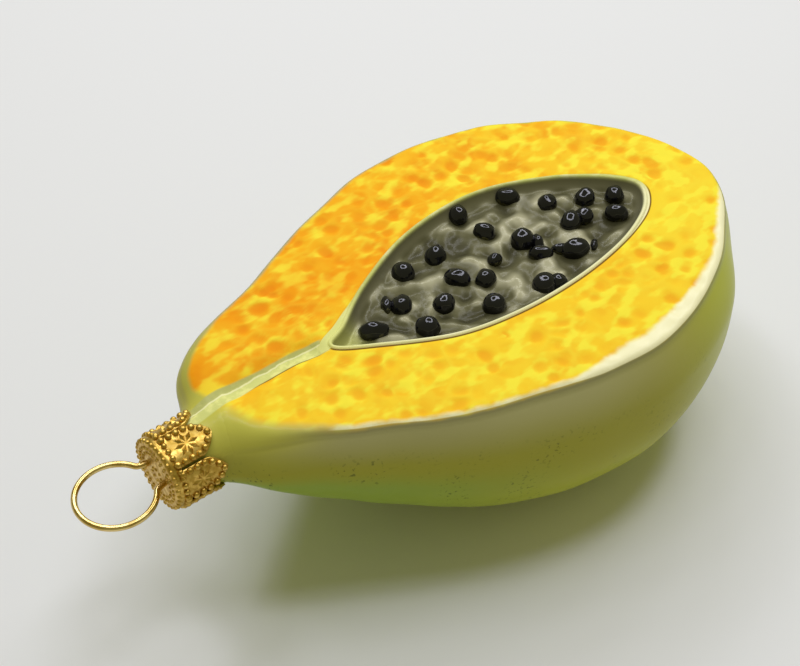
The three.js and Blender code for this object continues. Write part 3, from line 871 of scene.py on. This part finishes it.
def black_lacquer():
    lacquer = Finish("black_lacquer")
    on = lacquer.fade(lacquer.attribute("lacquer"), -0.06, 0.06)
    glass = lacquer.mix(lacquer.fade(lacquer.clouds(1.5, 3.0), 0.4, 0.65), PULP_DARK, PULP_OLIVE)
    lacquer.set(
        Base_Color=lacquer.mix(on, glass, LACQUER_BLACK), Roughness=lacquer.blend(on, 0.16, 0.07),
        Metallic=lacquer.blend(on, 0.4, 0.0), Specular_IOR_Level=0.25, IOR=1.5,
        Coat_Weight=0.45, Coat_Roughness=0.03,
    )
    lacquer.bump(lacquer.clouds(1.3, 2.0), 0.2, 0.25)
    return lacquer.material


lacquered = black_lacquer()
fruit_seeds.data.materials.append(lacquered)
print("black lacquer has", len(lacquered.node_tree.nodes), "nodes")

# %% [markdown]
# ## The neck
#
# Under the cap the glass narrows to a short tube. It is turned, so a profile is spun about the cap's axis:
# along the outside to the mouth and back along the bore. Where it leaves the fruit, its wall swells by the
# same rule as the fruit's skin does there, so the two lie on one smooth surface. Its paint follows the skin
# nearest to it.

# %% Neck
MOUTH_OUTER, MOUTH_INNER, NECK_BORE = 4.45, 3.8, 3.6
MOUTH_ROUND, BORE_ROUND, NECK_STEP = 0.3, 0.2, 0.4
NECK_OUTSIDE = [(x, NECK_RADIUS) for x in np.arange(NECK_ROOT, NECK_MOUTH + MOUTH_ROUND, -NECK_STEP)]
NECK_INSIDE = [
    (NECK_MOUTH, MOUTH_OUTER), (NECK_MOUTH, MOUTH_INNER),
    (NECK_MOUTH + BORE_ROUND, NECK_BORE), (NECK_ROOT, NECK_BORE),
]
WALL_MARGIN, NECK_SIDES = 0.1, 120
AXIS = Vector((1.0, 0.0, 0.0))


def spun(profile, steps):
    """A profile of (x, radius) spun right round the cap's axis."""
    bm = bmesh.new()
    verts = [bm.verts.new(in_frame(x, 0.0, AXIS_HEIGHT + radius)) for x, radius in profile]
    edges = [bm.edges.new(pair) for pair in zip(verts, verts[1:])]
    middle = in_frame(0.0, 0.0, AXIS_HEIGHT)
    bmesh.ops.spin(
        bm, geom=verts + edges, cent=middle, axis=AXIS, angle=math.tau, steps=steps, use_merge=True)
    bmesh.ops.remove_doubles(bm, verts=bm.verts[:], dist=1e-6)
    bmesh.ops.recalc_face_normals(bm, faces=bm.faces[:])
    return bm


def nearest_skin():
    """A look-up of how far places lie outside the bare skin, and of from_rim on the skin nearest to them."""
    near = bare[:, :, 0] < NECK_ZONE
    points, ways, from_rim = bare[near], bare_outward[near], skin[:, :, 4][near]
    tree = KDTree(len(points))
    for index, point in enumerate(points):
        tree.insert(point, index)
    tree.balance()

    def look_up(places):
        nearest = [tree.find(place)[1] for place in places]
        return np.sum((places - points[nearest]) * ways[nearest], axis=1), from_rim[nearest]

    return look_up


def neck_piece():
    bm = spun(NECK_OUTSIDE + NECK_INSIDE + NECK_OUTSIDE[:1], NECK_SIDES)
    places = np.array([(vert.co - FRUIT_ORIGIN) / MM for vert in bm.verts])
    out = places * (0, 1, 1) - (0, 0, AXIS_HEIGHT)
    radius = np.linalg.norm(out, axis=1, keepdims=True)
    look_up, wall = nearest_skin(), radius[:, 0] > NECK_RADIUS - WALL_MARGIN
    start, way = places[wall], (out / radius)[wall]
    places[wall] += way * swell(lambda far: look_up(start + way * np.reshape(far, (-1, 1)))[0])[:, None]
    for vert, place in zip(bm.verts, places):
        vert.co = in_frame(*place)
    piece = finished(bm, "neck_tube")
    across, _ = groove_across(places[:, 0], places[:, 1])
    set_masks(
        piece, from_rim=look_up(places)[1], from_hollow=FAR_AWAY, near_lip=0.0, rim_width=0.0,
        across=across, on_stem=1.0,
    )
    return piece


neck_tube = neck_piece()
neck_tube.data.materials.append(painted)
print("neck tube:", len(neck_tube.data.polygons), "faces")

# %% [markdown]
# ## The crown cap
#
# The cap is stamped from thin sheet: a cup whose wall is slit into six pointed tabs. Each tab has a border
# of beads and an eight-petalled flower. A tab is easiest to draw flat, with one direction along the cap and
# one round it, and then to wrap round the cylinder, flower, beads and all.

# %% Cap measures
CAP_END, CAP_LENGTH, CAP_RADIUS, CAP_SHEET, CAP_CORNER = -8.2, 8.4, 5.6, 0.4, 0.8
TAB_COUNT, TAB_TURN = 6, math.radians(18)
SLIT_START, SLIT_HALF, TAB_SHOULDER = 1.4, 0.2, 5.7
TAB_HALF = CAP_RADIUS * math.pi / TAB_COUNT - SLIT_HALF


def tab_half(along):
    """Half width of a tab at a distance from the closed end: straight, then drawn in to a point."""
    t = np.clip((along - TAB_SHOULDER) / (CAP_LENGTH - TAB_SHOULDER), 0, 1)
    return TAB_HALF * np.maximum(0, 1 - t**1.5) ** 0.8


def wrap(verts, tab):
    """Rolls flat tab places, (along, round, out) in millimetres, on to the cap's cylinder."""
    for vert in verts:
        along, across, out = vert.co
        angle = TAB_TURN + tab * math.tau / TAB_COUNT + across / CAP_RADIUS
        radius = CAP_RADIUS + out
        vert.co = in_frame(CAP_END + along, -radius * math.sin(angle), AXIS_HEIGHT + radius * math.cos(angle))


print("tab is", round(2 * TAB_HALF, 2), "mm wide")

# %% [markdown]
# The tabs are flat grids drawn in to a point, wrapped, and given the sheet's thickness by a modifier. The
# beads are small balls stepped evenly along the border of a tab and sunk nearly half way in. The petals are
# low four-sided cones, left flat-shaded, so that each catches the light on one side as crisp stamping does.

# %% Tabs, beads and flowers
BEAD_RADIUS, BEAD_STEP, BEAD_INSET, BEAD_LIFT, BEAD_START = 0.52, 1.18, 0.52, 0.08, 0.2
FLOWER_AT, PETALS, PETAL_LENGTH, PETAL_WIDTH, PETAL_RISE = 4.3, 8, 2.0, 0.84, 0.34
PETAL_GAP, PETAL_SINK = 0.1, 0.04


def tab_sheets():
    bm = bmesh.new()
    for tab in range(TAB_COUNT):
        made = bmesh.ops.create_grid(bm, x_segments=40, y_segments=16, size=1.0)["verts"]
        for vert in made:
            along = SLIT_START + (CAP_LENGTH - SLIT_START) * (vert.co.x + 1) / 2
            vert.co = (along, vert.co.y * float(tab_half(along)), 0.0)
        wrap(made, tab)
    bmesh.ops.remove_doubles(bm, verts=bm.verts[:], dist=1e-6)
    bmesh.ops.recalc_face_normals(bm, faces=bm.faces[:])
    return finished(bm, "cap_tabs")


def bead_line():
    """Places of the beads round one tab's border, evenly stepped by length."""
    along = np.linspace(SLIT_START + BEAD_START, CAP_LENGTH - BEAD_INSET * 1.3, 400)
    across = np.maximum(0, tab_half(along + BEAD_INSET * 0.6) - BEAD_INSET)
    path = np.vstack([np.column_stack([along, -across]), np.column_stack([along, across])[::-1]])
    length = np.concatenate([[0], np.cumsum(np.linalg.norm(np.diff(path, axis=0), axis=1))])
    stops = np.linspace(0, length[-1], round(length[-1] / BEAD_STEP) + 1)
    return np.column_stack([np.interp(stops, length, path[:, k]) for k in (0, 1)])


def tab_beads():
    bm = bmesh.new()
    for tab in range(TAB_COUNT):
        for along, across in bead_line():
            made = bmesh.ops.create_icosphere(bm, subdivisions=2, radius=BEAD_RADIUS)["verts"]
            bmesh.ops.translate(bm, vec=(along, across, BEAD_LIFT), verts=made)
            wrap(made, tab)
    return finished(bm, "cap_beads")


def tab_flowers():
    bm = bmesh.new()
    for tab in range(TAB_COUNT):
        for petal in range(PETALS):
            made = bmesh.ops.create_cone(
                bm, segments=4, radius1=1.0, radius2=0.0, depth=1.0, cap_ends=True)["verts"]
            bmesh.ops.scale(bm, vec=(PETAL_LENGTH / 2, PETAL_WIDTH / 2, PETAL_RISE), verts=made)
            out = (PETAL_LENGTH / 2 + PETAL_GAP, 0.0, PETAL_RISE / 2 - PETAL_SINK)
            bmesh.ops.translate(bm, vec=out, verts=made)
            turn = Matrix.Rotation(petal * math.tau / PETALS, 3, "Z")
            bmesh.ops.rotate(bm, matrix=turn, verts=made)
            bmesh.ops.translate(bm, vec=(FLOWER_AT, 0.0, 0.0), verts=made)
            wrap(made, tab)
    return finished(bm, "cap_flowers", smooth=False)


cap_tabs = tab_sheets()
thickness = cap_tabs.modifiers.new("sheet", "SOLIDIFY")
thickness.thickness = CAP_SHEET * MM
thickness.offset = -1.0
cap_beads = tab_beads()
cap_flowers = tab_flowers()
print("beads on a tab:", len(bead_line()))

# %% [markdown]
# The closed end is turned, so its profile is spun: a flat end, a rounded corner and a short skirt that the
# tabs grow from. Rows of beads ring it. Each row is given by its distance from the end, its radius, the
# radius of a bead and how many beads it has.

# %% Closed end of the cap
BEAD_ROWS = [
    (0.32, CAP_RADIUS - 0.36, 0.42, 32),
    (1.45, CAP_RADIUS + 0.02, 0.45, 32),
    (0.06, 4.3, 0.32, 30),
    (0.06, 3.5, 0.28, 24),
    (0.06, 1.1, 0.28, 8),
]
TAB_OVERLAP, CAP_SIDES = 0.1, 96


def cap_end_piece():
    inner, skirt_end = CAP_RADIUS - CAP_SHEET, CAP_END + SLIT_START + TAB_OVERLAP
    corner = [
        (CAP_END + CAP_CORNER * (1 - math.cos(a)), CAP_RADIUS - CAP_CORNER * (1 - math.sin(a)))
        for a in np.linspace(0, math.pi / 2, 7)
    ]
    outside = [(CAP_END, 0.0), *corner, (skirt_end, CAP_RADIUS)]
    inside = [
        (skirt_end, inner), (CAP_END + CAP_CORNER, inner),
        (CAP_END + CAP_SHEET, inner - CAP_SHEET), (CAP_END + CAP_SHEET, 0.0),
    ]
    return finished(spun(outside + inside, CAP_SIDES), "cap_end")


def end_beads():
    bm = bmesh.new()
    for row, (along, radius, size, count) in enumerate(BEAD_ROWS):
        for bead in range(count):
            angle = (bead + row / 2) * math.tau / count
            made = bmesh.ops.create_icosphere(bm, subdivisions=2, radius=size * MM)["verts"]
            at = in_frame(CAP_END + along, -radius * math.sin(angle), AXIS_HEIGHT + radius * math.cos(angle))
            bmesh.ops.translate(bm, vec=at, verts=made)
    return finished(bm, "cap_end_beads")


cap_end = cap_end_piece()
cap_end_beads = end_beads()
print("beads on the closed end:", sum(count for *_, count in BEAD_ROWS))

# %% [markdown]
# The stamped sheet is thin brass-coloured metal with a satin shine. A fine cloud varies its tone and its
# roughness, and a slight bump breaks up the reflections.

# %% Stamped gold
GOLD_DEEP, GOLD_PALE = (0.51, 0.315, 0.05), (0.78, 0.53, 0.13)


def stamped_gold():
    gold = Finish("stamped_gold")
    tone = gold.fade(gold.clouds(0.8, 3.0), 0.35, 0.7)
    gold.set(
        Base_Color=gold.mix(tone, GOLD_DEEP, GOLD_PALE), Metallic=1.0,
        Roughness=gold.blend(tone, 0.44, 0.32),
    )
    gold.bump(gold.clouds(0.35, 3.0), 0.15, 0.15)
    return gold.material


gold_sheet = stamped_gold()
cap_pieces = (cap_tabs, cap_beads, cap_flowers, cap_end, cap_end_beads)
for piece in cap_pieces:
    piece.data.materials.append(gold_sheet)
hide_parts("crown_cap")
print("cap pieces:", len(cap_pieces))

# %% [markdown]
# ## The hanger
#
# One springy wire makes the ring and both legs. The ring is nearly a full circle, and its ends turn in
# through the closed end of the cap. The legs spread inside the neck and hold the cap on. A round wire is
# easiest as a curve with a bevel, which is then made a mesh.

# %% Hanger wire
WIRE_RADIUS, LOOP_RADIUS, LOOP_MOUTH, LOOP_CLEARANCE = 0.47, 5.7, 2.6, 1.6
WIRE_HOLE_Y, WIRE_LIFT = 2.2, 0.5
WIRE_HEIGHT = AXIS_HEIGHT + WIRE_LIFT
LEG = [(15, 6.5), (9, 4.4), (2, 2.7), (-5.7, 2.2), (CAP_END, WIRE_HOLE_Y)]
LOOP_POINTS = 40
WIRE_DEEP, WIRE_PALE = (0.62, 0.42, 0.12), (0.86, 0.66, 0.28)


def hanger_route():
    start = math.pi - math.asin(LOOP_MOUTH / LOOP_RADIUS)
    middle = CAP_END - LOOP_CLEARANCE + LOOP_RADIUS * math.cos(start)
    angles = np.linspace(start, -start, LOOP_POINTS + 1)
    loop = [(middle - LOOP_RADIUS * math.cos(a), LOOP_RADIUS * math.sin(a)) for a in angles]
    return [*LEG, *loop, *[(x, -y) for x, y in reversed(LEG)]]


def hanger_curve():
    curve = bpy.data.curves.new("hanger", "CURVE")
    curve.dimensions = "3D"
    spline = curve.splines.new("NURBS")
    route = hanger_route()
    spline.points.add(len(route) - 1)
    for point, (x, y) in zip(spline.points, route):
        point.co = (*in_frame(x, y, WIRE_HEIGHT), 1.0)
    spline.order_u = 3
    spline.use_endpoint_u = True
    spline.resolution_u = 6
    curve.bevel_depth = WIRE_RADIUS * MM
    curve.bevel_resolution = 5
    curve.use_fill_caps = True
    bent = bpy.data.objects.new("bent_wire", curve)
    bpy.context.collection.objects.link(bent)
    mesh = bpy.data.meshes.new_from_object(bent.evaluated_get(bpy.context.evaluated_depsgraph_get()))
    bpy.data.objects.remove(bent)
    bm = bmesh.new()
    bm.from_mesh(mesh)
    bmesh.ops.remove_doubles(bm, verts=bm.verts[:], dist=1e-7)
    return finished(bm, "hanger")


def drawn_gold():
    gold = Finish("drawn_gold")
    tone = gold.fade(gold.clouds(3.0, 3.0), 0.35, 0.7)
    gold.set(
        Base_Color=gold.mix(tone, WIRE_DEEP, WIRE_PALE), Metallic=1.0,
        Roughness=gold.blend(tone, 0.16, 0.24),
    )
    return gold.material


hanger = hanger_curve()
hanger.data.materials.append(drawn_gold())
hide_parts("hanger_wire")
print("hanger route has", len(hanger_route()), "points")

# %% [markdown]
# ## Floor and light
#
# The ornament lies on a plain pale floor, wide enough to run past the picture on every side. It is part of
# the stage and not of the ornament.

# %% Floor
FLOOR_HALF, FLOOR_COLOUR = 2.0, (0.80, 0.80, 0.79)


def add_floor():
    bm = bmesh.new()
    bmesh.ops.create_grid(bm, x_segments=1, y_segments=1, size=FLOOR_HALF)
    mesh = bpy.data.meshes.new("floor")
    bm.to_mesh(mesh)
    bm.free()
    floor = bpy.data.objects.new("floor", mesh)
    bpy.context.collection.objects.link(floor)
    finish = Finish("pale_floor")
    finish.set(Base_Color=FLOOR_COLOUR, Roughness=0.6)
    mesh.materials.append(finish.material)
    return floor


floor = add_floor()
print("floor is", round(floor.dimensions.x, 1), "m across")

# %% [markdown]
# A large ring of soft lamps stands above and behind the ornament, which puts a small ring of light on every
# seed and throws the shadow towards the camera. A dim warm surround fills the rest.

# %% Light
LAMP_COUNT, LAMP_AIM = 12, (50, 0, 0)
LAMP_TOWARDS = Vector((0.265, 0.315, 0.91)).normalized()
LAMP_RANGE, LAMP_RING, LAMP_SIZE, LAMP_POWER = 0.60, 0.28, 0.14, 0.362
LAMP_COLOUR, SURROUND_COLOUR, SURROUND_POWER = (0.85, 0.857, 1.0), (1.0, 0.98, 0.50, 1.0), 0.26


def add_lamp(name, place, aim):
    data = bpy.data.lights.new(name, "AREA")
    data.shape = "DISK"
    data.size = LAMP_SIZE
    data.energy = LAMP_POWER
    data.color = LAMP_COLOUR
    lamp = bpy.data.objects.new(name, data)
    lamp.location = place
    lamp.rotation_euler = (aim - place).to_track_quat("-Z", "Y").to_euler()
    bpy.context.collection.objects.link(lamp)


def add_lamp_ring():
    aim = in_frame(*LAMP_AIM)
    side = LAMP_TOWARDS.orthogonal().normalized()
    other = LAMP_TOWARDS.cross(side)
    for lamp in range(LAMP_COUNT):
        angle = lamp * math.tau / LAMP_COUNT
        out = side * math.cos(angle) + other * math.sin(angle)
        add_lamp(f"ring_lamp_{lamp}", aim + LAMP_TOWARDS * LAMP_RANGE + out * LAMP_RING, aim)


def add_surround():
    world = bpy.data.worlds.new("surround")
    world.use_nodes = True
    background = world.node_tree.nodes["Background"]
    background.inputs["Color"].default_value = SURROUND_COLOUR
    background.inputs["Strength"].default_value = SURROUND_POWER
    bpy.context.scene.world = world


add_lamp_ring()
add_surround()
bpy.context.scene.view_settings.view_transform = "Standard"
print("lamps:", LAMP_COUNT)
